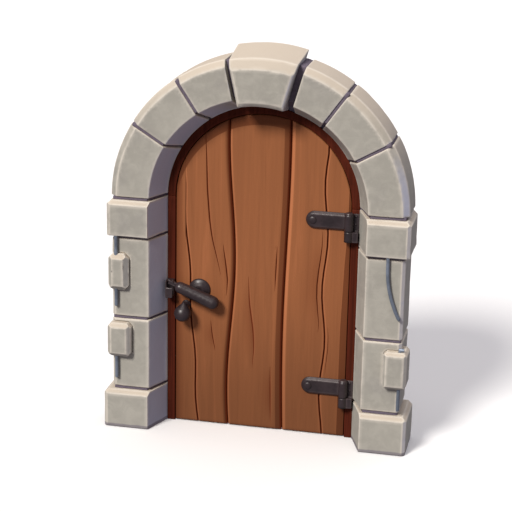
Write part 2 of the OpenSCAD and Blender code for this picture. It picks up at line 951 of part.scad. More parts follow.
module impost_left() {
    color(stone_colour)
        in_wall()
            on_side(-1)
                difference() {
                    impost();
                    upper_rod(rod_r + socket_clear);
                }
}

module impost_right() {
    color(stone_colour)
        in_wall()
            difference() {
                impost();
                loose_rod(rod_r + socket_clear);
            }
}

module arch_stone_right_1() {
    color(stone_colour) in_wall() arch_stone(0, 0, joint_right_1, joint);
}

module arch_stone_right_2() {
    color(stone_colour) in_wall() arch_stone(joint_right_1, joint, joint_right_2, joint);
}

module arch_stone_right_3() {
    color(stone_colour)
        in_wall()
            arch_stone(joint_right_2, joint, joint_key_right, joint_wide);
}

module keystone() { color(stone_colour) in_wall() keystone_body(); }

module arch_stone_left_3() {
    color(stone_colour)
        in_wall()
            arch_stone(joint_key_left, joint_medium, joint_left_2, joint);
}

module arch_stone_left_2() {
    color(stone_colour) in_wall() arch_stone(joint_left_2, joint, joint_left_1, joint);
}

module arch_stone_left_1() {
    color(stone_colour) in_wall() arch_stone(joint_left_1, joint, 180, 0);
}

module mortar_left() { color(mortar_colour) in_wall() on_side(-1) mortar_side(); }
module mortar_right() { color(mortar_colour) in_wall() mortar_side(); }
module mortar_arch() { color(mortar_colour) in_wall() arch_mortar(); }

module boss_upper_left() {
    color(stone_colour)
        in_wall()
            on_side(-1)
                difference() {
                    upper_boss();
                    upper_rod(rod_r + socket_clear);
                }
}

module boss_lower_left() {
    color(stone_colour)
        in_wall()
            on_side(-1)
                difference() {
                    left_boss();
                    lower_rod(rod_r + socket_clear);
                }
}

module boss_lower_right() {
    color(stone_colour)
        in_wall()
            difference() {
                right_boss();
                right_rod(rod_r + socket_clear);
            }
}

module rod_upper_left() { color(rod_colour) in_wall() on_side(-1) upper_rod(); }
module rod_lower_left() { color(rod_colour) in_wall() on_side(-1) lower_rod(); }
module rod_lower_right() { color(rod_colour) in_wall() right_rod(); }
module rod_bent() { color(rod_colour) in_wall() loose_rod(); }

module frame_post_left() {
    color(frame_colour)
        in_wall()
            difference() {
                on_side(-1)
                    frame_post();
                keeper_tang();
            }
}

module frame_post_right() {
    color(frame_colour)
        in_wall()
            difference() {
                frame_post();
                plate_nail_shanks();
            }
}

module frame_head_left() { color(frame_colour) in_wall() frame_head(90, 180); }
module frame_head_right() { color(frame_colour) in_wall() frame_head(0, 90); }

module board_1() { color(leaf_colour) in_wall() board(0); }
module board_2() { color(leaf_colour) in_wall() board(1); }
module board_3() { color(leaf_colour) in_wall() board(2); }
module board_4() { color(leaf_colour) in_wall() board(3); }
module board_5() { color(leaf_colour) in_wall() board(4); }
module ledge_bottom() { color(back_colour) in_wall() ledge(0); }
module ledge_middle() { color(back_colour) in_wall() ledge(1); }
module ledge_top() { color(back_colour) in_wall() ledge(2); }
module ledge_nails() { color(iron_colour) in_wall() nail_set(); }

module strap_upper() { color(iron_colour) in_wall() strap(upper_hinge_z); }
module strap_lower() { color(iron_colour) in_wall() strap(lower_hinge_z); }

module strap_bolts() {
    color(iron_colour)
        in_wall()
            for (z = [lower_hinge_z, upper_hinge_z])
                strap_bolt(z);
}

module strap_nuts() {
    color(iron_colour)
        in_wall()
            for (z = [lower_hinge_z, upper_hinge_z])
                back_nut(bolt_x, ledge_back, z, nut_r, bolt_r);
}

module pintle_upper() { color(iron_colour) in_wall() pintle(upper_hinge_z); }
module pintle_lower() { color(iron_colour) in_wall() pintle(lower_hinge_z); }
module hinge_pin_upper() { color(iron_colour) in_wall() hinge_pin(upper_hinge_z); }
module hinge_pin_lower() { color(iron_colour) in_wall() hinge_pin(lower_hinge_z); }
module pintle_nails() { color(iron_colour) in_wall() plate_nail_set(); }

module keeper() { color(iron_colour) in_wall() keeper_body(); }
module latch_rose() { color(iron_colour) in_wall() rose(); }
module latch_bar() { color(iron_colour) in_wall() bar(); }
module latch_spindle() { color(iron_colour) in_wall() spindle(); }

module latch_nut() {
    color(iron_colour)
        in_wall()
            back_nut(spindle_x, ledge_back + seat_clear, spindle_z, nut_r + 4, spindle_r);
}

module pull_knob() { color(iron_colour) in_wall() knob(); }

module knob_nut() {
    color(iron_colour)
        in_wall()
            back_nut(knob_seat_x, leaf_back, knob_seat_z, knob_nut_r, shank_r);
}

base_left();
lower_jamb_left();
upper_jamb_left();
impost_left();
base_right();
lower_jamb_right();
upper_jamb_right();
impost_right();
arch_stone_right_1();
arch_stone_right_2();
arch_stone_right_3();
keystone();
arch_stone_left_3();
arch_stone_left_2();
arch_stone_left_1();
mortar_left();
mortar_right();
mortar_arch();
boss_upper_left();
boss_lower_left();
boss_lower_right();
rod_upper_left();
rod_lower_left();
rod_lower_right();
rod_bent();
frame_post_left();
frame_post_right();
frame_head_left();
frame_head_right();
board_1();
board_2();
board_3();
board_4();
board_5();
ledge_bottom();
ledge_middle();
ledge_top();
ledge_nails();
strap_upper();
strap_lower();
strap_bolts();
strap_nuts();
pintle_upper();
pintle_lower();
hinge_pin_upper();
hinge_pin_lower();
pintle_nails();
keeper();
latch_rose();
latch_bar();
latch_spindle();
latch_nut();
pull_knob();
knob_nut();
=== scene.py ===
"""The looks of an arched plank door: weathered stone, oiled boards and forged iron."""

import json
import math

import bmesh
import bpy
import numpy as np
from bpy.props import FloatProperty, FloatVectorProperty, IntProperty, PointerProperty
from mathutils import Matrix, Vector, noise


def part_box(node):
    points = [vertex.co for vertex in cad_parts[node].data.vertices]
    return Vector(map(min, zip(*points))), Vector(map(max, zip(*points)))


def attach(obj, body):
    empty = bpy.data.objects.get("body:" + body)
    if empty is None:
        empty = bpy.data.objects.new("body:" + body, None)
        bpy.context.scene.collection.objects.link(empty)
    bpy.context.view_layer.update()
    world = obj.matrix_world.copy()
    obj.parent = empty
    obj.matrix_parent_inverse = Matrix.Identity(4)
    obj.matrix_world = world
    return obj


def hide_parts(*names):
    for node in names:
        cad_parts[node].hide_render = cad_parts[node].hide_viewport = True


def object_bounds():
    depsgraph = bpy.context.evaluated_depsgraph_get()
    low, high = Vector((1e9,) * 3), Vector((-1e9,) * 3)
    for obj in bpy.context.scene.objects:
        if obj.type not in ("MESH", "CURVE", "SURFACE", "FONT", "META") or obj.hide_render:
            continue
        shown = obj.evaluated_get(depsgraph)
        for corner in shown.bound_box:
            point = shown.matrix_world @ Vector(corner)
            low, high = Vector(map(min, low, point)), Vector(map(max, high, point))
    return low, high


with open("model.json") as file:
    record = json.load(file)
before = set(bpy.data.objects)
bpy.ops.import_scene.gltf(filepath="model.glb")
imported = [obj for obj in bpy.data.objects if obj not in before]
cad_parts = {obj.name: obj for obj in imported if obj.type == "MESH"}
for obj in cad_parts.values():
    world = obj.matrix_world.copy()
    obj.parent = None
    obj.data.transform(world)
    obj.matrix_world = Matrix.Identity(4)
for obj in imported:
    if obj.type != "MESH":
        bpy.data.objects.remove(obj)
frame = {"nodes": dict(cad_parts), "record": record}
CAD_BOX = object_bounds()

bl_info = {
    "name": "Arched Plank Door",
    "version": (1, 0, 0),
    "blender": (4, 5, 0),
    "location": "3D View > Sidebar > Door",
    "description": "Builds the visible surfaces of an arched plank door in its stone doorway",
    "category": "Object",
}


# ---------------------------------------------------------------- places from the frame


def low(node):
    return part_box(node)[0]


def high(node):
    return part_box(node)[1]


FACE_Y = low("upper_jamb_right").y
SPRING_Z = high("impost_right").z
LEAF_Y = low("board_3").y
LEAF_BACK = high("board_3").y
LEAF_FOOT = low("board_3").z
LEAF_HALF = high("board_5").x
# Where the painted shadow of the arch on the boards ends, to the right
PAINTED_SHADOW_END = high("board_3").x
THROAT = high("frame_post_right").x
# Which way the faces look that get the painted cool shade, a purple tint that stands in for
# shade
COOL_SHADE_WAY = (0.75, -0.60, -0.40)
# Faces that meet at less than the first angle are one flat face, and up to the second
# they are shaded as one smooth surface
FLAT_UP_TO = math.radians(0.8)
SMOOTH_UP_TO = math.radians(38.0)
# Corners this near are one corner, and points this near a face lie on it
MERGE_WITHIN = 1e-5
ON_FACE_WITHIN = 1e-4
# Slivers narrower than this share of a rounding are closed up
SLIVER_SHARE = 0.1
# Stone and timber this near the place where they meet keep their shape
FRAME_REACH = 0.012
# The least distance between two cracks in a board
CRACK_GAP = 0.014
# Half of what stays open between the backs of two boards
HAIR = 0.00002
# Unevenness of the boards: depth, waves across and waves along, per metre
BOARD_WAVES = ((0.0016, 9.0, 1.6), (0.0007, 60.0, 3.0))

STONES = [
    "base_left", "lower_jamb_left", "upper_jamb_left", "impost_left",
    "base_right", "lower_jamb_right", "upper_jamb_right", "impost_right",
    "arch_stone_right_1", "arch_stone_right_2", "arch_stone_right_3", "keystone",
    "arch_stone_left_3", "arch_stone_left_2", "arch_stone_left_1",
]
BOSSES = ["boss_upper_left", "boss_lower_left", "boss_lower_right"]
MORTARS = ["mortar_left", "mortar_right", "mortar_arch"]
RODS = ["rod_upper_left", "rod_lower_left", "rod_lower_right", "rod_bent"]
TIMBERS = ["frame_post_left", "frame_post_right", "frame_head_left", "frame_head_right"]
LEDGES = ["ledge_bottom", "ledge_middle", "ledge_top"]
BOARDS = ["board_1", "board_2", "board_3", "board_4", "board_5"]

# How a board's surface falls away towards an edge. Each row is the distance in from the edge
# and the fall, in metres, then how dark the wood is there, how much painted shade and how much
# painted highlight it gets.
EDGE_PROFILES = {
    "outer_left": [
        (0.0, 0.010, 0.4, 1.0, 0.0), (0.004, 0.005, 0.0, 1.0, 0.0),
        (0.020, 0.002, 0.0, 0.75, 0.0), (0.058, 0.0, 0.0, 0.1, 0.0),
    ],
    "outer_right": [
        (0.0, 0.012, 0.4, 1.0, 0.0), (0.003, 0.008, 0.0, 1.0, 0.0),
        (0.042, 0.001, 0.0, 0.9, 0.0), (0.045, 0.0, 0.0, 0.0, 0.3),
        (0.052, 0.0, 0.0, 0.0, 0.0),
    ],
    "narrow_left": [
        (0.0, 0.009, 1.0, 0.0, 0.0), (0.002, 0.006, 1.0, 0.0, 0.0),
        (0.0045, 0.002, 0.25, 0.0, 0.7), (0.009, 0.0005, 0.0, 0.0, 0.7),
        (0.014, 0.0, 0.0, 0.0, 0.0),
    ],
    "narrow_right": [
        (0.0, 0.009, 1.0, 0.0, 0.0), (0.002, 0.006, 1.0, 0.0, 0.0),
        (0.0045, 0.002, 0.25, 0.0, 0.5), (0.010, 0.0005, 0.0, 0.0, 0.4),
        (0.016, 0.0, 0.0, 0.0, 0.0),
    ],
    "crisp_left": [
        (0.0, 0.014, 1.0, 0.0, 0.0), (0.0035, 0.010, 1.0, 0.0, 0.0),
        (0.006, 0.004, 0.3, 0.0, 0.5), (0.009, 0.0015, 0.0, 0.0, 1.0),
        (0.014, 0.0, 0.0, 0.0, 0.5), (0.020, 0.0, 0.0, 0.0, 0.0),
    ],
    "wide_left": [
        (0.0, 0.016, 1.0, 0.0, 0.0), (0.004, 0.011, 1.0, 0.0, 0.0),
        (0.006, 0.008, 0.3, 0.0, 0.6), (0.009, 0.006, 0.0, 0.0, 1.0),
        (0.022, 0.001, 0.0, 0.0, 0.9), (0.028, 0.0, 0.0, 0.0, 0.0),
    ],
    "soft_right": [
        (0.0, 0.014, 1.0, 1.0, 0.0), (0.004, 0.011, 1.0, 1.0, 0.0),
        (0.008, 0.007, 0.25, 1.0, 0.0), (0.014, 0.003, 0.0, 0.7, 0.0),
        (0.024, 0.0, 0.0, 0.0, 0.0),
    ],
    "wide_right": [
        (0.0, 0.016, 1.0, 1.0, 0.0), (0.005, 0.012, 1.0, 1.0, 0.0),
        (0.008, 0.009, 0.3, 1.0, 0.0), (0.012, 0.008, 0.0, 0.95, 0.0),
        (0.033, 0.001, 0.0, 0.8, 0.0), (0.036, 0.0, 0.0, 0.0, 0.0),
    ],
}
BOARD_EDGES = {
    "board_1": ("outer_left", "narrow_right"),
    "board_2": ("narrow_left", "soft_right"),
    "board_3": ("crisp_left", "wide_right"),
    "board_4": ("wide_left", "narrow_right"),
    "board_5": ("narrow_left", "outer_right"),
}
# The right edge's weathered bevel on the last board, with its painted shade, narrows with
# height
BEVEL_HEIGHTS = (0.0, 0.70, 1.10, 1.33, 1.80)
BEVEL_SHARES = (1.0, 0.95, 0.65, 0.35, 0.30)

# Cracks in each board: half width, depth, and points (height, place across the door)
CRACKS = {
    "board_1": [],
    "board_2": [
        (0.0042, 0.006, [
            (0.960, -0.247), (1.011, -0.258), (1.097, -0.279), (1.183, -0.302),
            (1.301, -0.320), (1.496, -0.336), (1.712, -0.343), (1.880, -0.352),
        ]),
        (0.0038, 0.006, [
            (0.840, -0.200), (0.932, -0.206), (1.015, -0.215), (1.110, -0.229),
            (1.170, -0.238),
        ]),
        (0.0028, 0.004, [(0.480, -0.276), (0.556, -0.293), (0.605, -0.301), (0.680, -0.308)]),
    ],
    "board_3": [
        (0.0045, 0.002, [
            (0.400, -0.046), (0.515, -0.038), (0.630, -0.044), (0.718, -0.057),
            (0.814, -0.071), (0.980, -0.078),
        ]),
        (0.0032, 0.003, [
            (0.060, 0.100), (0.154, 0.093), (0.237, 0.087), (0.311, 0.073), (0.420, 0.066),
        ]),
        (0.0034, 0.005, [(0.900, 0.120), (0.993, 0.114), (1.067, 0.108), (1.180, 0.103)]),
    ],
    "board_4": [
        (0.0036, 0.006, [
            (0.660, 0.353), (0.838, 0.361), (1.001, 0.363), (1.136, 0.367), (1.290, 0.370),
        ]),
    ],
    "board_5": [
        (0.0014, 0.003, [(0.400, 0.403), (0.477, 0.407), (0.608, 0.410), (0.700, 0.411)]),
    ],
}


# ---------------------------------------------------------------- settings


class StoneworkSettings(bpy.types.PropertyGroup):
    front: FloatVectorProperty(
        name="Face", description="Colour of the dressed faces", subtype="COLOR",
        default=(0.42, 0.40, 0.352), min=0, max=1)
    # Painted light: a lighter colour for the faces that look up, standing in for the light from
    # above
    painted_top_light: FloatVectorProperty(
        name="Painted top light", description="Colour of the faces that look up",
        subtype="COLOR", default=(0.56, 0.485, 0.40), min=0, max=1)
    # Edges lighter partly from wear and partly as a painted highlight
    wear_and_highlight: FloatVectorProperty(
        name="Worn edge and highlight", description="Colour of the rubbed edges", subtype="COLOR",
        default=(0.68, 0.625, 0.55), min=0, max=1)
    stain: FloatVectorProperty(
        name="Stain", description="Colour of the damp patches", subtype="COLOR",
        default=(0.19, 0.17, 0.20), min=0, max=1)
    # Painted shade: a cool purple tint for the faces turned away from the key light
    painted_cool_shade: FloatVectorProperty(
        name="Painted cool shade", description="Colour of the faces that never see the sun",
        subtype="COLOR", default=(0.49, 0.50, 0.60), min=0, max=1)
    rounding: FloatProperty(
        name="Rounding", description="Width of the worn roundings", default=0.0065,
        min=0.002, max=0.012, unit="LENGTH")
    unevenness: FloatProperty(
        name="Unevenness", description="Depth of the tooling marks and hollows",
        default=0.0035, min=0, max=0.008, unit="LENGTH")
    mesh_step: FloatProperty(
        name="Mesh step", description="Spacing of the surface mesh", default=0.016,
        min=0.01, max=0.05, unit="LENGTH")


class TimberSettings(bpy.types.PropertyGroup):
    board: FloatVectorProperty(
        name="Boards", description="Colour of the boards", subtype="COLOR",
        default=(0.338, 0.122, 0.048), min=0, max=1)
    # Dark grain only: the painted shadow under the arch takes a shaded copy of the board colour
    board_dark: FloatVectorProperty(
        name="Dark grain", description="Colour of the dark grain and the stained margin",
        subtype="COLOR", default=(0.19, 0.060, 0.022), min=0, max=1)
    # Lighter grain streaks, and the painted highlight on the board edges that face the key
    # light
    light_grain_and_highlight: FloatVectorProperty(
        name="Arris highlight", description="Colour of the rubbed board edges",
        subtype="COLOR", default=(0.56, 0.20, 0.085), min=0, max=1)
    crack: FloatVectorProperty(
        name="Crack", description="Colour deep in cracks and joints", subtype="COLOR",
        default=(0.135, 0.024, 0.006), min=0, max=1)
    frame: FloatVectorProperty(
        name="Frame", description="Colour of the door frame", subtype="COLOR",
        default=(0.088, 0.014, 0.005), min=0, max=1)
    ledge: FloatVectorProperty(
        name="Ledges", description="Colour of the ledges on the back", subtype="COLOR",
        default=(0.24, 0.095, 0.042), min=0, max=1)
    arris: FloatProperty(
        name="Arris", description="Radius of the rounded board edges", default=0.008,
        min=0.002, max=0.012, unit="LENGTH")
    # Painted shadow: how far the arch's shadow reaches down onto the boards
    margin: FloatProperty(
        name="Margin", description="Depth of the dark margin under the arch",
        default=0.056, min=0.0, max=0.1, unit="LENGTH")
    column_step: FloatProperty(
        name="Column step", description="Width of the board mesh's faces",
        default=0.013, min=0.006, max=0.04, unit="LENGTH")
    rows: IntProperty(
        name="Rows", description="Faces up the length of a board", default=130,
        min=40, max=300)


class IronSettings(bpy.types.PropertyGroup):
    forged: FloatVectorProperty(
        name="Forged iron", description="Colour of the forged ironwork",
        subtype="COLOR", default=(0.024, 0.016, 0.018), min=0, max=1)
    rubbed: FloatVectorProperty(
        name="Rubbed iron", description="Colour of the rubbed iron edges",
        subtype="COLOR", default=(0.085, 0.062, 0.064), min=0, max=1)
    rod: FloatVectorProperty(
        name="Rods", description="Colour of the rods on the stonework",
        subtype="COLOR", default=(0.145, 0.17, 0.215), min=0, max=1)


class StageSettings(bpy.types.PropertyGroup):
    turn: FloatProperty(
        name="Turn", description="Camera's turn to the right of straight ahead",
        default=math.radians(12.0), subtype="ANGLE")
    height: FloatProperty(
        name="Elevation", description="Camera's angle above level",
        default=math.radians(17.5), subtype="ANGLE")
    roll: FloatProperty(
        name="Roll", description="Camera's roll", default=math.radians(1.1),
        subtype="ANGLE")
    distance: FloatProperty(
        name="Distance", description="Camera's distance from its target", default=9.5,
        min=2, unit="LENGTH")
    target_z: FloatProperty(
        name="Target height", description="Height that the camera looks at",
        default=1.15, unit="LENGTH")
    lens: FloatProperty(
        name="Lens", description="Focal length on a 36 mm sensor", default=114.41,
        min=10, unit="CAMERA")
    key: FloatProperty(
        name="Key", description="Strength of the light from the upper left", default=3.2,
        min=0)
    overhead: FloatProperty(
        name="Overhead", description="Strength of the light from above", default=0.9, min=0)
    rear: FloatProperty(
        name="Rear", description="Strength of the light from behind", default=0.7, min=0)
    ambient: FloatProperty(
        name="Ambient", description="Strength of the light all round", default=0.27, min=0)
    floor: FloatVectorProperty(
        name="Floor", description="Colour of the floor", subtype="COLOR",
        default=(0.92, 0.92, 0.93), min=0, max=1)
    sky: FloatVectorProperty(
        name="Surround", description="Colour of the light all round", subtype="COLOR",
        default=(0.96, 0.90, 1.0), min=0, max=1)


def settings():
    return bpy.context.scene.plank_door


class DoorSettings(bpy.types.PropertyGroup):
    stone: PointerProperty(type=StoneworkSettings)
    timber: PointerProperty(type=TimberSettings)
    iron: PointerProperty(type=IronSettings)
    stage: PointerProperty(type=StageSettings)


# ---------------------------------------------------------------- material helpers


class Nodes:
    """Adds nodes to one material and links them."""

    def __init__(self, name):
        self.material = bpy.data.materials.new(name)
        self.material.use_nodes = True
        self.tree = self.material.node_tree
        self.tree.nodes.clear()
        self.place = self.add("ShaderNodeTexCoord").outputs["Object"]
        self.shader = self.add("ShaderNodeBsdfPrincipled")
        out = self.add("ShaderNodeOutputMaterial")
        self.tree.links.new(self.shader.outputs["BSDF"], out.inputs["Surface"])

    def add(self, kind, **values):
        node = self.tree.nodes.new(kind)
        for key, value in values.items():
            self.put(node, key.replace("_", " "), value)
        return node

    def put(self, node, key, value):
        socket = node.inputs[key]
        if isinstance(value, bpy.types.NodeSocket):
            self.tree.links.new(value, socket)
        else:
            socket.default_value = value

    def maths(self, operation, a, b=0.0):
        node = self.add("ShaderNodeMath")
        node.operation = operation
        self.put(node, 0, a)
        self.put(node, 1, b)
        return node.outputs[0]

    def ramp(self, value, start, end, low_end=0.0, high_end=1.0):
        """A smooth rise from low_end to high_end as value goes from start to end."""
        node = self.add("ShaderNodeMapRange")
        node.interpolation_type = "SMOOTHSTEP"
        for key, number in zip(
            ("Value", "From Min", "From Max", "To Min", "To Max"),
            (value, start, end, low_end, high_end),
        ):
            self.put(node, key, number)
        return node.outputs["Result"]

    def mix(self, factor, a, b, blend="MIX"):
        node = self.add("ShaderNodeMix")
        node.data_type = "RGBA"
        node.blend_type = blend
        for socket, value in ((0, factor), (6, a), (7, b)):
            if isinstance(value, bpy.types.NodeSocket):
                self.tree.links.new(value, node.inputs[socket])
            elif socket == 0:
                node.inputs[socket].default_value = value
            else:
                node.inputs[socket].default_value = (*value[:3], 1.0)
        return node.outputs[2]

    def stretched(self, x, y, z):
        """The place on the piece, scaled along each axis."""
        node = self.add("ShaderNodeMapping", Vector=self.place)
        node.inputs["Scale"].default_value = (x, y, z)
        return node.outputs["Vector"]

    def noise(self, scale, detail=3.0, rough=0.5, vector=None, distortion=0.0):
        node = self.add(
            "ShaderNodeTexNoise", Vector=vector or self.place, Scale=scale,
            Detail=detail, Roughness=rough, Distortion=distortion)
        return node.outputs["Fac"]

    def attribute(self, name):
        node = self.add("ShaderNodeAttribute")
        node.attribute_name = name
        return node.outputs["Fac"]

    def facing(self, direction):
        """How far a face looks that way, from -1 to 1."""
        node = self.add("ShaderNodeVectorMath")
        node.operation = "DOT_PRODUCT"
        self.put(node, 0, self.add("ShaderNodeNewGeometry").outputs["Normal"])
        self.put(node, 1, Vector(direction).normalized())
        return node.outputs["Value"]

    def bump(self, height, distance, strength=1.0, normal=None):
        node = self.add("ShaderNodeBump", Height=height, Distance=distance, Strength=strength)
        if normal is not None:
            self.put(node, "Normal", normal)
        return node.outputs["Normal"]

    def finish(self, colour, roughness, normal=None, metallic=0.0, specular=0.5):
        self.put(self.shader, "Base Color", colour)
        self.put(self.shader, "Roughness", roughness)
        self.put(self.shader, "Metallic", metallic)
        self.put(self.shader, "Specular IOR Level", specular)
        if normal is not None:
            self.put(self.shader, "Normal", normal)
        return self.material


def limestone(name, painted_cool_shade):
    """Dressed limestone: mottled faces and stains, with painted light: a lighter top, a cool
    painted shade on the faces turned from the key light, and edges lightened partly for wear
    and partly as a painted highlight.
    """
    s = settings().stone
    n = Nodes(name)
    broad = n.noise(3.2, 4.0, 0.55)
    mottle = n.noise(15.0, 5.0, 0.62, distortion=0.4)
    grit = n.noise(120.0, 3.0, 0.7)
    face = n.mix(n.ramp(mottle, 0.38, 0.66), [0.88 * c for c in s.front], s.front)
    face = n.mix(n.ramp(broad, 0.45, 0.72, 0.0, 0.35), face, [1.12 * c for c in s.front])
    face = n.mix(n.ramp(broad, 0.50, 0.28, 0.0, 0.16), face, s.stain)
    # Painted shade: faces turned away from the key light are tinted purple
    face = n.mix(n.ramp(n.facing(COOL_SHADE_WAY), 0.70, 0.90, 0.0, painted_cool_shade), face, s.painted_cool_shade)
    # Painted top light: faces that look up are lightened
    face = n.mix(n.ramp(n.facing((0.0, 0.0, 1.0)), 0.15, 0.75), face, s.painted_top_light)
    # Edges are lightened, partly for wear and partly as a painted highlight
    edge = n.maths("MULTIPLY", n.attribute("edge"), n.ramp(mottle, 0.30, 0.52, 0.45, 1.0))
    face = n.mix(n.maths("MULTIPLY", edge, 0.95), face, s.wear_and_highlight)
    # Darker along the very foot of the stones
    height = n.add("ShaderNodeSeparateXYZ", Vector=n.place).outputs["Z"]
    foot = n.maths("ADD", height, n.maths("MULTIPLY", mottle, 0.012))
    face = n.mix(n.ramp(foot, 0.034, 0.026, 0.0, 0.75), face, s.stain)
    face = n.mix(n.ramp(grit, 0.62, 0.80, 0.0, 0.25), face, [0.55 * c for c in s.front])
    normal = n.bump(mottle, 0.004, 0.55)
    normal = n.bump(grit, 0.0012, 0.5, normal)
    return n.finish(face, n.ramp(mottle, 0.3, 0.7, 0.78, 0.92), normal, specular=0.25)


def lime_mortar():
    """Lumpy mortar, dark because it lies in shade."""
    n = Nodes("shaded_mortar")
    lumps = n.noise(38.0, 4.0, 0.6)
    colour = n.mix(lumps, (0.115, 0.095, 0.125), (0.19, 0.16, 0.205))
    return n.finish(colour, 0.95, n.bump(lumps, 0.006), specular=0.1)


def oiled_boards():
    """Boards with long grain, dark cracks, painted highlights on the arrises, painted shade
    along some edges and a painted shadow of the arch along the top.
    """
    t = settings().timber
    n = Nodes("oiled_boards")
    figure = n.noise(1.0, 4.0, 0.55, n.stretched(22.0, 8.0, 1.1), 0.6)
    fibre = n.noise(1.0, 3.0, 0.6, n.stretched(150.0, 30.0, 4.0), 0.2)
    # A shaded copy of the board colour, for the painted shade and the painted shadow
    shaded = [c * share for c, share in zip(t.board, (0.50, 0.40, 0.36))]
    colour = n.mix(n.ramp(figure, 0.35, 0.62), [0.90 * c for c in t.board], t.board)
    colour = n.mix(n.ramp(figure, 0.60, 0.74, 0.0, 0.20), colour, t.light_grain_and_highlight)
    colour = n.mix(n.ramp(figure, 0.36, 0.22, 0.0, 0.40), colour, t.board_dark)
    colour = n.mix(n.ramp(fibre, 0.52, 0.78, 0.0, 0.18), colour, t.board_dark)
    split = n.add("ShaderNodeSeparateXYZ", Vector=n.place)
    x, z = split.outputs["X"], split.outputs["Z"]
    # Painted shadow: a dark band under the arch stands in for the arch's shadow on the boards
    rise = n.maths("MAXIMUM", n.maths("ADD", z, t.margin - SPRING_Z), 0.0)
    squares = n.maths("ADD", n.maths("MULTIPLY", x, x), n.maths("MULTIPLY", rise, rise))
    reach = n.maths("SQRT", squares)
    margin = n.ramp(reach, LEAF_HALF - 0.008, LEAF_HALF - 0.003)
    margin = n.maths("MULTIPLY", margin, n.ramp(x, PAINTED_SHADOW_END + 0.004, PAINTED_SHADOW_END - 0.004))
    # Painted shade on the edges turned from the key light, joined with the painted shadow
    shade = n.maths("MAXIMUM", margin, n.attribute("shade"))
    colour = n.mix(n.maths("MULTIPLY", shade, 0.9), colour, shaded)
    # Painted highlight on the arrises that face the key light, left out under the painted
    # shadow
    painted_highlight = n.maths("MULTIPLY", n.attribute("painted_highlight"), n.ramp(figure, 0.3, 0.5, 0.55, 1.0))
    painted_highlight = n.maths("MULTIPLY", painted_highlight, n.maths("SUBTRACT", 1.0, margin))
    colour = n.mix(n.maths("MULTIPLY", painted_highlight, 0.8), colour, t.light_grain_and_highlight)
    # Darker towards the bottom of the boards
    darker = n.ramp(z, 1.10, 0.0, 1.0, 0.62)
    colour = n.mix(1.0, colour, darker, "MULTIPLY")
    colour = n.mix(n.ramp(n.attribute("crack"), 0.05, 0.70), colour, t.crack)
    normal = n.bump(figure, 0.004, 0.30)
    normal = n.bump(fibre, 0.0012, 0.40, normal)
    return n.finish(colour, n.ramp(figure, 0.3, 0.7, 0.66, 0.54), normal, specular=0.15)


def timber(name, base, along):
    """Plain dark timber, with its grain along x or z."""
    n = Nodes(name)
    scales = (90.0, 40.0, 3.0) if along == "z" else (3.0, 40.0, 90.0)
    fibre = n.noise(1.0, 4.0, 0.6, n.stretched(*scales), 0.4)
    colour = n.mix(n.ramp(fibre, 0.35, 0.68), [0.62 * c for c in base], base)
    edge = n.maths("MULTIPLY", n.attribute("edge"), 0.5)
    colour = n.mix(edge, colour, [1.7 * c for c in base])
    rough = n.ramp(fibre, 0.3, 0.7, 0.8, 0.65)
    return n.finish(colour, rough, n.bump(fibre, 0.0015, 0.6), specular=0.12)


def iron(name, base, rubbed, metallic):
    """Hammered iron with rubbed edges."""
    n = Nodes(name)
    dents = n.noise(55.0, 3.0, 0.5)
    dust = n.noise(9.0, 4.0, 0.6)
    colour = n.mix(n.ramp(dust, 0.35, 0.68), base, [1.7 * c for c in base])
    edge = n.maths("MULTIPLY", n.attribute("edge"), n.ramp(dust, 0.3, 0.6, 0.4, 0.9))
    colour = n.mix(edge, colour, rubbed)
    rough = n.ramp(dents, 0.3, 0.7, 0.30, 0.44)
    return n.finish(colour, rough, n.bump(dents, 0.002, 0.5), metallic=metallic, specular=0.55)


def material(name):
    """A named finish, made the first time that it is asked for."""
    made = bpy.data.materials.get(name)
    if made is not None:
        return made
    s = settings()
    rod_rubbed = [1.8 * c for c in s.iron.rod]
    makers = {
        "dressed_limestone": lambda: limestone("dressed_limestone", 1.0),
        "boss_limestone": lambda: limestone("boss_limestone", 0.15),
        "shaded_mortar": lime_mortar,
        "oiled_boards": oiled_boards,
        # A very dark red-brown for the frame timber
        "dark_frame_timber": lambda: timber("dark_frame_timber", s.timber.frame, "z"),
        "sawn_ledges": lambda: timber("sawn_ledges", s.timber.ledge, "x"),
        "hammered_iron": lambda: iron("hammered_iron", s.iron.forged, s.iron.rubbed, 0.10),
        "dark_rod_iron": lambda: iron("dark_rod_iron", s.iron.rod, rod_rubbed, 0.35),
    }
    return makers[name]()


# ---------------------------------------------------------------- mesh helpers


def merged_copy(node):
    """A bmesh of a CAD node with its corners joined and its flat faces whole."""
    bm = bmesh.new()
    bm.from_mesh(frame["nodes"][node].data)
    bmesh.ops.remove_doubles(bm, verts=bm.verts, dist=MERGE_WITHIN)
    bmesh.ops.dissolve_limit(
        bm, angle_limit=FLAT_UP_TO, verts=bm.verts, edges=bm.edges)
    return bm


def sharp_edges(bm, angle, shortest):
    """The edges where two faces meet at more than that angle, without the shortest ones."""
    return [
        e for e in bm.edges
        if len(e.link_faces) == 2 and e.calc_face_angle(0.0) > angle
        and e.calc_length() > shortest
    ]


def distance_to(points, segments):
    """The distance of each point from the nearest of the segments."""
    best = np.full(len(points), 1e9)
    for a, b in segments:
        along = b - a
        share = np.clip((points - a) @ along / max(along @ along, 1e-12), 0.0, 1.0)
        gap = np.linalg.norm(points - a - share[:, None] * along, axis=1)
        best = np.minimum(best, gap)
    return best


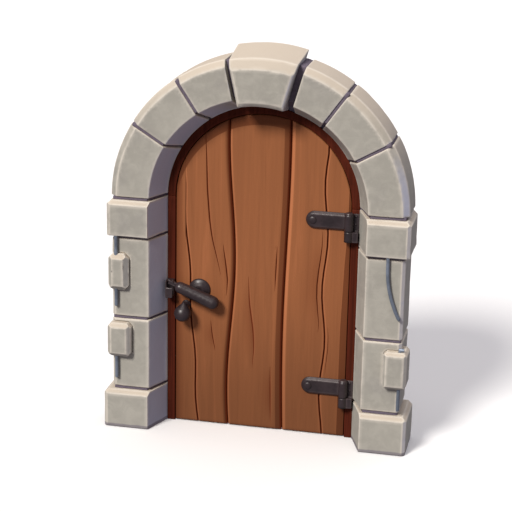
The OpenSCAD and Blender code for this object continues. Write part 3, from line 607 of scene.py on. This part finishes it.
def slice_grid(bm, step):
    """Cuts a mesh by evenly spaced planes, so that its faces are at most a step wide."""
    for axis in range(3):
        values = [v.co[axis] for v in bm.verts]
        start, end = min(values), max(values)
        count = max(1, round((end - start) / step))
        normal = Vector([1.0 if k == axis else 0.0 for k in range(3)])
        for i in range(1, count):
            place = normal * (start + (end - start) * i / count)
            bmesh.ops.bisect_plane(
                bm, geom=bm.verts[:] + bm.edges[:] + bm.faces[:], dist=1e-6,
                plane_co=place, plane_no=normal)


def beside_the_frame(place):
    """Whether a point is where stone and timber meet, and so stays as it is."""
    reach = math.hypot(place.x, max(place.z - SPRING_Z, 0.0))
    return reach < THROAT + FRAME_REACH and place.y > LEAF_Y - FRAME_REACH


def inside_box(place):
    """The nearest point in the whole object's box."""
    return Vector([min(max(c, lo), hi) for c, lo, hi in zip(place, *CAD_BOX)])


def wear(bm, segments, depth, chip, scale, reach, seed):
    """Sinks the surface unevenly, chips its edges, and stores how near each point is to one."""
    knock_scale, knock_above = 2.2, 0.15
    bm.normal_update()
    layer = bm.verts.layers.float.new("edge")
    points = np.array([v.co for v in bm.verts])
    gaps = distance_to(points, segments) if segments else np.full(len(points), 1.0)
    shift = Vector((seed * 7.31, seed * 3.17, seed * 5.77))
    for v, gap in zip(bm.verts, gaps):
        hollow = 0.5 + 0.5 * noise.noise(v.co * scale + shift)
        knock = max(0.0, noise.noise(v.co * scale * knock_scale + shift) - knock_above)
        knock *= math.exp(-gap / reach)
        sunk = depth * hollow + chip * knock
        if not beside_the_frame(v.co):
            v.co = inside_box(v.co - v.normal * sunk)
        v[layer] = max(0.0, 1.0 - gap / reach)


def finish_mesh(bm, name, finish, body, replaced):
    """Turns a bmesh into a piece that rides on a body and stands for CAD nodes."""
    bm.normal_update()
    mesh = bpy.data.meshes.new(name)
    bm.to_mesh(mesh)
    bm.free()
    for polygon in mesh.polygons:
        polygon.use_smooth = True
    mesh.set_sharp_from_angle(angle=SMOOTH_UP_TO)
    piece = bpy.data.objects.new(name, mesh)
    bpy.context.scene.collection.objects.link(piece)
    mesh.materials.append(material(finish))
    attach(piece, body)
    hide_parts(*replaced)
    return piece


def body_of_node(node):
    """The name of the body that a CAD node rides on."""
    bodies = frame["record"]["behaviour"]["bodies"]
    return next(body for body, nodes in bodies.items() if node in nodes)


def worn_piece(
    node, finish, rounding, step, depth, chip=0.0, scale=7.0, angle=22.0, reach=None,
):
    """A weathered copy of a CAD node, with rounded edges and an uneven surface."""
    bm = merged_copy(node)
    edges = sharp_edges(bm, math.radians(angle), 0.9 * rounding)
    spans = [(np.array(e.verts[0].co), np.array(e.verts[1].co)) for e in edges]
    bmesh.ops.bevel(
        bm, geom=edges, offset=rounding, offset_type="OFFSET", segments=2,
        profile=0.5, affect="EDGES", material=-1, clamp_overlap=True)
    slice_grid(bm, step)
    bmesh.ops.remove_doubles(bm, verts=bm.verts, dist=SLIVER_SHARE * rounding)
    seed = 1 + sum(ord(c) for c in node) % 97
    wear(bm, spans, depth, chip, scale, reach or 1.8 * rounding, seed)
    return finish_mesh(bm, "worn_" + node, finish, body_of_node(node), [node])


def ironwork(nodes, rounding, step, depth, angle, reach):
    """Worn copies of forged pieces."""
    for node in nodes:
        worn_piece(
            node, "hammered_iron", rounding, step, depth, scale=24.0,
            angle=angle, reach=reach)


def fasteners(nodes):
    """Worn copies of pins, nuts and nails."""
    ironwork(nodes, 0.0015, 0.03, 0.0003, 35.0, 0.004)


def turned(bm, profile, place, axis, steps):
    """Spins a profile of (radius, distance along the axis) about a line."""
    axis = Vector(axis).normalized()
    side = axis.orthogonal().normalized()
    place = Vector(place)
    verts = [bm.verts.new(place + side * r + axis * a) for r, a in profile]
    edges = [bm.edges.new(pair) for pair in zip(verts, verts[1:])]
    bmesh.ops.spin(
        bm, geom=verts + edges, cent=place, axis=axis, angle=2 * math.pi, steps=steps,
        use_merge=True)
    bmesh.ops.remove_doubles(bm, verts=bm.verts, dist=1e-6)
    bmesh.ops.recalc_face_normals(bm, faces=bm.faces)


def dome(radius, height, count=8):
    """A profile that rises from a rim of that radius to a crown of that height."""
    turns = [math.pi / 2 * i / count for i in range(count + 1)]
    return [(radius * math.cos(turn), height * math.sin(turn)) for turn in turns]


# ---------------------------------------------------------------- operators


class DOOR_OT_stonework(bpy.types.Operator):
    """Adds the worn jamb stones, arch stones and keystone"""

    bl_idname = "door.stonework"
    bl_label = "Stonework"

    def execute(self, context):
        s = settings().stone
        for node in STONES:
            worn_piece(
                node, "dressed_limestone", s.rounding, s.mesh_step,
                s.unevenness, chip=0.004, scale=6.0, reach=0.012)
        return {"FINISHED"}


class DOOR_OT_bosses(bpy.types.Operator):
    """Adds the small projecting boss stones"""

    bl_idname = "door.bosses"
    bl_label = "Boss stones"

    def execute(self, context):
        s = settings().stone
        for node in BOSSES:
            worn_piece(
                node, "boss_limestone", 0.7 * s.rounding, 0.012,
                0.5 * s.unevenness, chip=0.002, scale=12.0, reach=0.009)
        return {"FINISHED"}


class DOOR_OT_mortar(bpy.types.Operator):
    """Adds the mortar in the joints"""

    bl_idname = "door.mortar"
    bl_label = "Mortar"

    def execute(self, context):
        for node in MORTARS:
            worn_piece(node, "shaded_mortar", 0.001, 0.03, -0.006, scale=20.0)
        return {"FINISHED"}


class DOOR_OT_rods(bpy.types.Operator):
    """Adds the iron rods on the stonework"""

    bl_idname = "door.rods"
    bl_label = "Iron rods"

    def execute(self, context):
        for node in RODS:
            worn_piece(
                node, "dark_rod_iron", 0.002, 0.02, 0.0012, scale=30.0,
                angle=40.0)
        return {"FINISHED"}


class DOOR_OT_door_frame(bpy.types.Operator):
    """Adds the timber door frame"""

    bl_idname = "door.door_frame"
    bl_label = "Door frame"

    def execute(self, context):
        for node in TIMBERS:
            worn_piece(node, "dark_frame_timber", 0.004, 0.03, 0.0015, scale=9.0)
        return {"FINISHED"}


def outline(node):
    """The points (x, z) of the outer edge of a board's front face."""
    bm = bmesh.new()
    bm.from_mesh(frame["nodes"][node].data)
    bmesh.ops.remove_doubles(bm, verts=bm.verts, dist=MERGE_WITHIN)

    def in_front(face):
        return all(abs(v.co.y - LEAF_Y) < ON_FACE_WITHIN for v in face.verts)

    rim = [e for e in bm.edges if sum(in_front(f) for f in e.link_faces) == 1]
    loops = []
    left = set(rim)
    while left:
        todo, loop = [left.pop()], set()
        while todo:
            edge = todo.pop()
            loop.update(edge.verts)
            near = {e for v in edge.verts for e in v.link_edges if e in left}
            left -= near
            todo += near
        loops.append([(v.co.x, v.co.z) for v in loop])
    bm.free()
    return max(loops, key=lambda loop: max(z for x, z in loop) - min(z for x, z in loop))


def joint_lines(node):
    """The board's left and right edges on its front face, each as heights and places."""
    on_arch = 4e-4
    beside_edge = LEAF_HALF - 0.001
    points = [
        (x, z) for x, z in outline(node)
        if z < SPRING_Z + ON_FACE_WITHIN
        or abs(math.hypot(x, z - SPRING_Z) - LEAF_HALF) > on_arch
    ]
    if node == BOARDS[0]:
        middle = -beside_edge
    elif node == BOARDS[-1]:
        middle = beside_edge
    else:
        middle = (min(x for x, z in points) + max(x for x, z in points)) / 2
    left = sorted((z, x) for x, z in points if x < middle)
    right = sorted((z, x) for x, z in points if x > middle)
    if node == BOARDS[0]:
        left = [(LEAF_FOOT, -LEAF_HALF), (SPRING_Z, -LEAF_HALF)]
    if node == BOARDS[-1]:
        right = [(LEAF_FOOT, LEAF_HALF), (SPRING_Z, LEAF_HALF)]
    return np.array(left), np.array(right)


class Board:
    """Lays out the columns and rows of one board's front face.

    A column lies between two anchors. An anchor is (kind, number, side): a point of an
    edge's profile, counted from the left or the right edge, or a line on or beside a crack,
    with its distance from the crack's middle in half widths.
    """

    crack_sides = (-1.0, 0.0, 1.0, 3.0)
    closed_half = 0.0006
    end_rows = (0.0, 0.10, 0.35, 1.0)

    def __init__(self, node, step, rows, arris):
        self.node = node
        self.left, self.right = joint_lines(node)
        self.profiles = [EDGE_PROFILES[name] for name in BOARD_EDGES[node]]
        self.arris = arris
        self.cracks = sorted(CRACKS[node], key=lambda crack: crack[2][0][1])
        self.rows = rows
        self.places = {}
        anchors = [("left", k, 0.0) for k in range(len(self.profiles[0]))]
        for k in range(len(self.cracks)):
            anchors += [("crack", k, side) for side in self.crack_sides]
        anchors += [("right", k, 0.0) for k in reversed(range(len(self.profiles[1])))]
        middle = SPRING_Z / 2
        self.columns = []
        for first, second in zip(anchors, anchors[1:]):
            gap = self.anchor_x(second, middle) - self.anchor_x(first, middle)
            joined = first[0] == second[0] and (first[0] != "crack" or first[1] == second[1])
            count = 1 if joined and gap < 2 * step else max(1, round(gap / step))
            self.columns += [(first, second, i / count) for i in range(count)]
        self.columns.append((anchors[-1], anchors[-1], 0.0))

    @staticmethod
    def edge(line, z):
        """Where an edge line is at that height."""
        return float(np.interp(z, line[:, 0], line[:, 1]))

    def bevel_share(self, z):
        """How wide the right edge's profile is at that height, as a share of its full width."""
        if self.node != BOARDS[-1]:
            return 1.0
        return float(np.interp(z, BEVEL_HEIGHTS, BEVEL_SHARES))

    def openness(self, k, z):
        """How far the crack is open at that height, from 0 to 1."""
        line = self.cracks[k][2]
        t = (z - line[0][0]) / (line[-1][0] - line[0][0])
        return math.sin(math.pi * t) ** 0.6 if 0.0 < t < 1.0 else 0.0

    def crack_places(self, z):
        """Where every crack is at that height. A closed one makes way for the open ones."""
        count = len(self.cracks)
        inner = [len(profile) - 1 for profile in self.profiles]
        least = self.anchor_x(("left", inner[0], 0.0), z) + CRACK_GAP / 2
        most = self.anchor_x(("right", inner[1], 0.0), z) - CRACK_GAP
        open_ones = [k for k in range(count) if self.openness(k, z) > 0.0]
        places = [0.0] * count
        for k in sorted(range(count), key=lambda k: k not in open_ones):
            heights, line = zip(*self.cracks[k][2])
            near = [float(np.interp(z + way, heights, line)) for way in (-0.03, 0.0, 0.03)]
            low_end = least + CRACK_GAP * k
            high_end = most - CRACK_GAP * (count - 1 - k)
            if k not in open_ones:
                beside = [(j, places[j] + CRACK_GAP * (k - j)) for j in open_ones]
                low_end = max([low_end] + [place for j, place in beside if j < k])
                high_end = min([high_end] + [place for j, place in beside if j > k])
            places[k] = max(low_end, min(high_end, sum(near) / len(near)))
        for k in range(1, count):
            places[k] = max(places[k], places[k - 1] + CRACK_GAP / 2)
        return places

    def crack_x(self, k, z):
        """Where a crack is at that height, worked out once for each height."""
        if z not in self.places:
            self.places[z] = self.crack_places(z)
        return self.places[z][k]

    def anchor_x(self, anchor, z):
        kind, value, side = anchor
        if kind == "left":
            return self.edge(self.left, z) + self.profiles[0][value][0]
        if kind == "right":
            width = self.profiles[1][value][0] * self.bevel_share(z)
            return self.edge(self.right, z) - width
        half = self.closed_half + self.cracks[value][0] * self.openness(value, z)
        return self.crack_x(value, z) + side * half

    def column_x(self, column, z):
        first, second, share = column
        a = self.anchor_x(first, z)
        return a + (self.anchor_x(second, z) - a) * share

    def surface(self, column, z):
        """The fall, darkness, painted shade and painted highlight of the wood in that column.
        """
        first, second, share = column
        values = [np.array(self.anchor_surface(anchor, z)) for anchor in (first, second)]
        return values[0] + (values[1] - values[0]) * share

    def anchor_surface(self, anchor, z):
        kind, value, side = anchor
        if kind != "crack":
            return self.profiles[0 if kind == "left" else 1][value][1:]
        open_share = self.openness(value, z)
        if side == 0.0:
            return (self.cracks[value][1] * open_share, float(open_share > 0.1), 0.0, 0.0)
        # A painted highlight along the right side of an open crack
        lit = 0.6 * open_share if side == 1.0 else 0.0
        return (0.0, 0.30 * open_share if abs(side) == 1.0 else 0.0, 0.0, lit)

    def top(self, column):
        """The height at which a column meets the arch."""
        z = SPRING_Z
        for _ in range(12):
            x = self.column_x(column, z)
            z = SPRING_Z + math.sqrt(max(LEAF_HALF ** 2 - x * x, 0.0))
        return z

    def row_share(self, row, span):
        """Even rows, with the first and last few close together on the rounded ends."""
        ends = self.end_rows
        if row < len(ends):
            return ends[row] * self.arris / span
        if self.rows - row < len(ends):
            return 1.0 - ends[self.rows - row] * self.arris / span
        inner = (row - len(ends) + 1) / (self.rows - 2 * len(ends) + 2)
        low_end = self.arris / span
        return low_end + (1.0 - 2 * low_end) * inner


def rounded_drop(gap, radius):
    """How far a rounded arris falls away at that distance from the edge."""
    if gap >= radius:
        return 0.0
    return radius - math.sqrt(max(radius ** 2 - (radius - gap) ** 2, 0.0))


def lines_across(node):
    """The neighbours' edge lines that face this board: (on the left, on the right)."""
    place = BOARDS.index(node)
    left = joint_lines(BOARDS[place - 1])[1] if place > 0 else None
    right = joint_lines(BOARDS[place + 1])[0] if place < len(BOARDS) - 1 else None
    return left, right


def board_piece(node, seed):
    """A board with its own cracks and rounded edges, whose back nearly meets its neighbours."""
    t = settings().timber
    board = Board(node, t.column_step, t.rows, t.arris)
    bm = bmesh.new()
    spaces = len(board.columns) - 1
    bmesh.ops.create_grid(bm, x_segments=spaces, y_segments=board.rows, size=1.0)
    layers = [bm.verts.layers.float.new(name) for name in ("crack", "shade", "painted_highlight")]
    shift = Vector((seed * 3.7, seed * 9.1, seed * 1.3))
    tops = [board.top(column) for column in board.columns]
    for v in bm.verts:
        i = round((v.co.x + 1) / 2 * spaces)
        j = round((v.co.y + 1) / 2 * board.rows)
        span = tops[i] - LEAF_FOOT
        z = LEAF_FOOT + board.row_share(j, span) * span
        x = board.column_x(board.columns[i], z)
        fall, *looks = board.surface(board.columns[i], z)
        end_gap = z - LEAF_FOOT
        if z > SPRING_Z:
            end_gap = min(end_gap, LEAF_HALF - math.hypot(x, z - SPRING_Z))
        fall = max(fall, rounded_drop(max(end_gap, 0.0), board.arris))
        for depth, wide, long in BOARD_WAVES:
            wave = noise.noise(Vector((x * wide, 0, z * long)) + shift)
            fall += depth * (0.5 + 0.5 * wave)
        v.co = Vector((x, LEAF_Y + fall, z))
        for layer, look in zip(layers, looks):
            v[layer] = look
    rim = [e for e in bm.edges if e.is_boundary]
    grown = bmesh.ops.extrude_edge_only(bm, edges=rim)["geom"]
    sides = list(zip((board.left, board.right), lines_across(node), (-1, 1)))
    for v in [g for g in grown if isinstance(g, bmesh.types.BMVert)]:
        for line, other, way in sides:
            own = board.edge(line, v.co.z)
            if other is not None and abs(v.co.x - own) < MERGE_WITHIN:
                v.co.x = (own + board.edge(other, v.co.z)) / 2 - way * HAIR
        v.co.y = LEAF_BACK
        for layer in layers:
            v[layer] = 0.0
    bmesh.ops.triangle_fill(bm, edges=[e for e in bm.edges if e.is_boundary], use_beauty=True)
    bmesh.ops.recalc_face_normals(bm, faces=bm.faces)
    return finish_mesh(bm, "plank_" + node, "oiled_boards", "leaf", [node])


class DOOR_OT_boards(bpy.types.Operator):
    """Adds the leaf's boards, with their cracks and rounded edges"""

    bl_idname = "door.boards"
    bl_label = "Boards"

    def execute(self, context):
        for seed, node in enumerate(BOARDS, 1):
            board_piece(node, seed)
        return {"FINISHED"}


class DOOR_OT_ledges(bpy.types.Operator):
    """Adds the ledges and nails on the back of the leaf"""

    bl_idname = "door.ledges"
    bl_label = "Ledges"

    def execute(self, context):
        for node in LEDGES:
            worn_piece(node, "sawn_ledges", 0.004, 0.03, 0.0015, scale=9.0)
        worn_piece(
            "ledge_nails", "hammered_iron", 0.0008, 0.05, 0.0002, angle=35.0)
        return {"FINISHED"}


class DOOR_OT_hinges(bpy.types.Operator):
    """Adds the hinge straps, pintles, pins, bolts and nuts"""

    bl_idname = "door.hinges"
    bl_label = "Hinges"

    def execute(self, context):
        ironwork(["strap_upper", "strap_lower"], 0.004, 0.012, 0.0010, 25.0, 0.008)
        ironwork(["pintle_upper", "pintle_lower"], 0.003, 0.014, 0.0010, 35.0, 0.007)
        fasteners(["hinge_pin_upper", "hinge_pin_lower", "strap_nuts", "pintle_nails"])
        self.bolts()
        return {"FINISHED"}

    def bolts(self):
        """Domed heads on round shanks."""
        bm = bmesh.new()
        corner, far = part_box("strap_bolts")
        radius = (far.x - corner.x) / 2
        strap = frame["nodes"]["strap_upper"].data.vertices
        seat = min(v.co.y for v in strap if v.co.x < far.x)
        shank, end = 0.35 * radius, seat - far.y
        profile = [(0.0, end), (shank, end), (shank, 0.0), (radius, 0.0)]
        profile += dome(radius, seat - corner.y)[1:]
        for node in ("strap_lower", "strap_upper"):
            height = (low(node).z + high(node).z) / 2
            turned(bm, profile, (corner.x + radius, seat, height), (0, -1, 0), 32)
        finish_mesh(
            bm, "domed_strap_bolts", "hammered_iron", "leaf", ["strap_bolts"])


class DOOR_OT_latch(bpy.types.Operator):
    """Adds the latch bar, its rose, keeper, spindle and nut"""

    bl_idname = "door.latch"
    bl_label = "Latch"

    def execute(self, context):
        ironwork(["latch_bar"], 0.004, 0.010, 0.0010, 35.0, 0.008)
        ironwork(["latch_rose"], 0.004, 0.012, 0.0008, 8.0, 0.006)
        ironwork(["keeper"], 0.005, 0.012, 0.0010, 35.0, 0.008)
        fasteners(["latch_spindle", "latch_nut"])
        return {"FINISHED"}


class DOOR_OT_knob(bpy.types.Operator):
    """Adds the pull knob and its nut"""

    bl_idname = "door.knob"
    bl_label = "Pull knob"

    def execute(self, context):
        self.drop()
        fasteners(["knob_nut"])
        return {"FINISHED"}

    def drop(self):
        """A teardrop whose point leans up behind the latch bar, on its shank."""
        bm = merged_copy("pull_knob")
        corner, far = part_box("pull_knob")
        radius = (far.x - corner.x) / 2
        middle = Vector((corner.x + radius, corner.y + radius, corner.z + radius))
        swell, tip = 1.03 * radius, 1.62 * radius
        tangent = math.asin(swell / tip)
        ball_steps, cone_steps = 14, 5
        profile = [(0.0, -swell)]
        for i in range(1, ball_steps + 1):
            turn = -math.pi / 2 + (math.pi / 2 + tangent) * i / ball_steps
            profile.append((swell * math.cos(turn), swell * math.sin(turn)))
        foot, end = np.array(profile[-1]), np.array((0.006, tip - 0.012))
        for i in range(1, cone_steps + 1):
            profile.append(tuple(foot + (end - foot) * (i / cone_steps)))
        profile.append((0.0, tip - 0.008))
        turned(bm, profile, middle, (0.10, 0.05, 1.0), 36)
        layer = bm.verts.layers.float.new("edge")
        for v in bm.verts:
            v[layer] = 0.0
        finish_mesh(bm, "drop_pull_knob", "hammered_iron", "leaf", ["pull_knob"])


class DOOR_OT_stage(bpy.types.Operator):
    """Adds the camera, the floor and the lights"""

    bl_idname = "door.stage"
    bl_label = "Stage"

    def execute(self, context):
        self.camera(context)
        self.floor()
        stage = settings().stage
        self.light("key_light", (-0.30, -0.68, 0.62), stage.key, 16.0, (1.0, 0.965, 0.90))
        self.light("overhead_light", (0.0, -0.05, 1.0), stage.overhead, 40.0, (1.0, 0.97, 0.93))
        self.light("rear_light", (0.45, 0.85, 0.45), stage.rear, 40.0, (0.92, 0.94, 1.0))
        self.surround(context)
        return {"FINISHED"}

    def camera(self, context):
        s = settings().stage
        across, up = math.sin(s.turn), math.sin(s.height)
        back = Vector((
            across * math.cos(s.height), -math.cos(s.turn) * math.cos(s.height), up))
        right = Vector((math.cos(s.turn), math.sin(s.turn), 0.0))
        above = back.cross(right)
        level = Matrix((right, above, back)).transposed()
        data = bpy.data.cameras.new("view_camera")
        data.lens = s.lens
        data.sensor_width = 36.0
        data.shift_x = 0.0005
        data.shift_y = 0.0039
        data.clip_end = 200.0
        camera = bpy.data.objects.new("view_camera", data)
        target = Vector((0.0, FACE_Y, s.target_z))
        turned_view = level @ Matrix.Rotation(s.roll, 3, "Z")
        stand = Matrix.Translation(target + back * s.distance)
        camera.matrix_world = stand @ turned_view.to_4x4()
        context.scene.collection.objects.link(camera)
        context.scene.camera = camera

    def floor(self):
        bm = bmesh.new()
        bmesh.ops.create_grid(bm, x_segments=4, y_segments=4, size=60.0)
        mesh = bpy.data.meshes.new("studio_floor")
        bm.to_mesh(mesh)
        bm.free()
        floor = bpy.data.objects.new("studio_floor", mesh)
        n = Nodes("studio_floor")
        mesh.materials.append(n.finish((*settings().stage.floor, 1.0), 0.9, specular=0.1))
        bpy.context.scene.collection.objects.link(floor)
        floor.visible_diffuse = False
        floor.visible_glossy = False

    def light(self, name, towards, strength, spread, colour):
        """A broad even light from far away."""
        data = bpy.data.lights.new(name, "SUN")
        data.angle = math.radians(spread)
        data.energy = strength
        data.color = colour
        lamp = bpy.data.objects.new(name, data)
        direction = Vector(towards).normalized()
        turn = direction.to_track_quat("Z", "Y").to_matrix().to_4x4()
        lamp.matrix_world = Matrix.Translation(direction * 6.0) @ turn
        bpy.context.scene.collection.objects.link(lamp)

    def surround(self, context):
        world = bpy.data.worlds.new("studio_surround")
        world.use_nodes = True
        sky = world.node_tree.nodes["Background"]
        sky.inputs["Color"].default_value = (*settings().stage.sky, 1.0)
        sky.inputs["Strength"].default_value = settings().stage.ambient
        context.scene.world = world
        context.scene.view_settings.view_transform = "Standard"


OPERATORS = [
    DOOR_OT_stage, DOOR_OT_stonework, DOOR_OT_bosses, DOOR_OT_mortar, DOOR_OT_rods,
    DOOR_OT_door_frame, DOOR_OT_boards, DOOR_OT_ledges, DOOR_OT_hinges, DOOR_OT_latch,
    DOOR_OT_knob,
]


class DOOR_PT_panel(bpy.types.Panel):
    """Lists the pieces of the door"""

    bl_label = "Arched plank door"
    bl_idname = "DOOR_PT_panel"
    bl_space_type = "VIEW_3D"
    bl_region_type = "UI"
    bl_category = "Door"

    def draw(self, context):
        for group in ("stone", "timber", "iron", "stage"):
            owner = getattr(context.scene.plank_door, group)
            box = self.layout.box()
            box.label(text=group.capitalize())
            for key in owner.__annotations__:
                box.prop(owner, key)
        for operator in OPERATORS:
            self.layout.operator(operator.bl_idname)


CLASSES = [
    StoneworkSettings, TimberSettings, IronSettings, StageSettings, DoorSettings,
    *OPERATORS, DOOR_PT_panel,
]


def register():
    for cls in CLASSES:
        bpy.utils.register_class(cls)
    bpy.types.Scene.plank_door = PointerProperty(type=DoorSettings)


def unregister():
    del bpy.types.Scene.plank_door
    for cls in reversed(CLASSES):
        bpy.utils.unregister_class(cls)


def main():
    register()
    for operator in OPERATORS:
        family, action = operator.bl_idname.split(".")
        getattr(getattr(bpy.ops, family), action)()


if __name__ == "__main__":
    main()
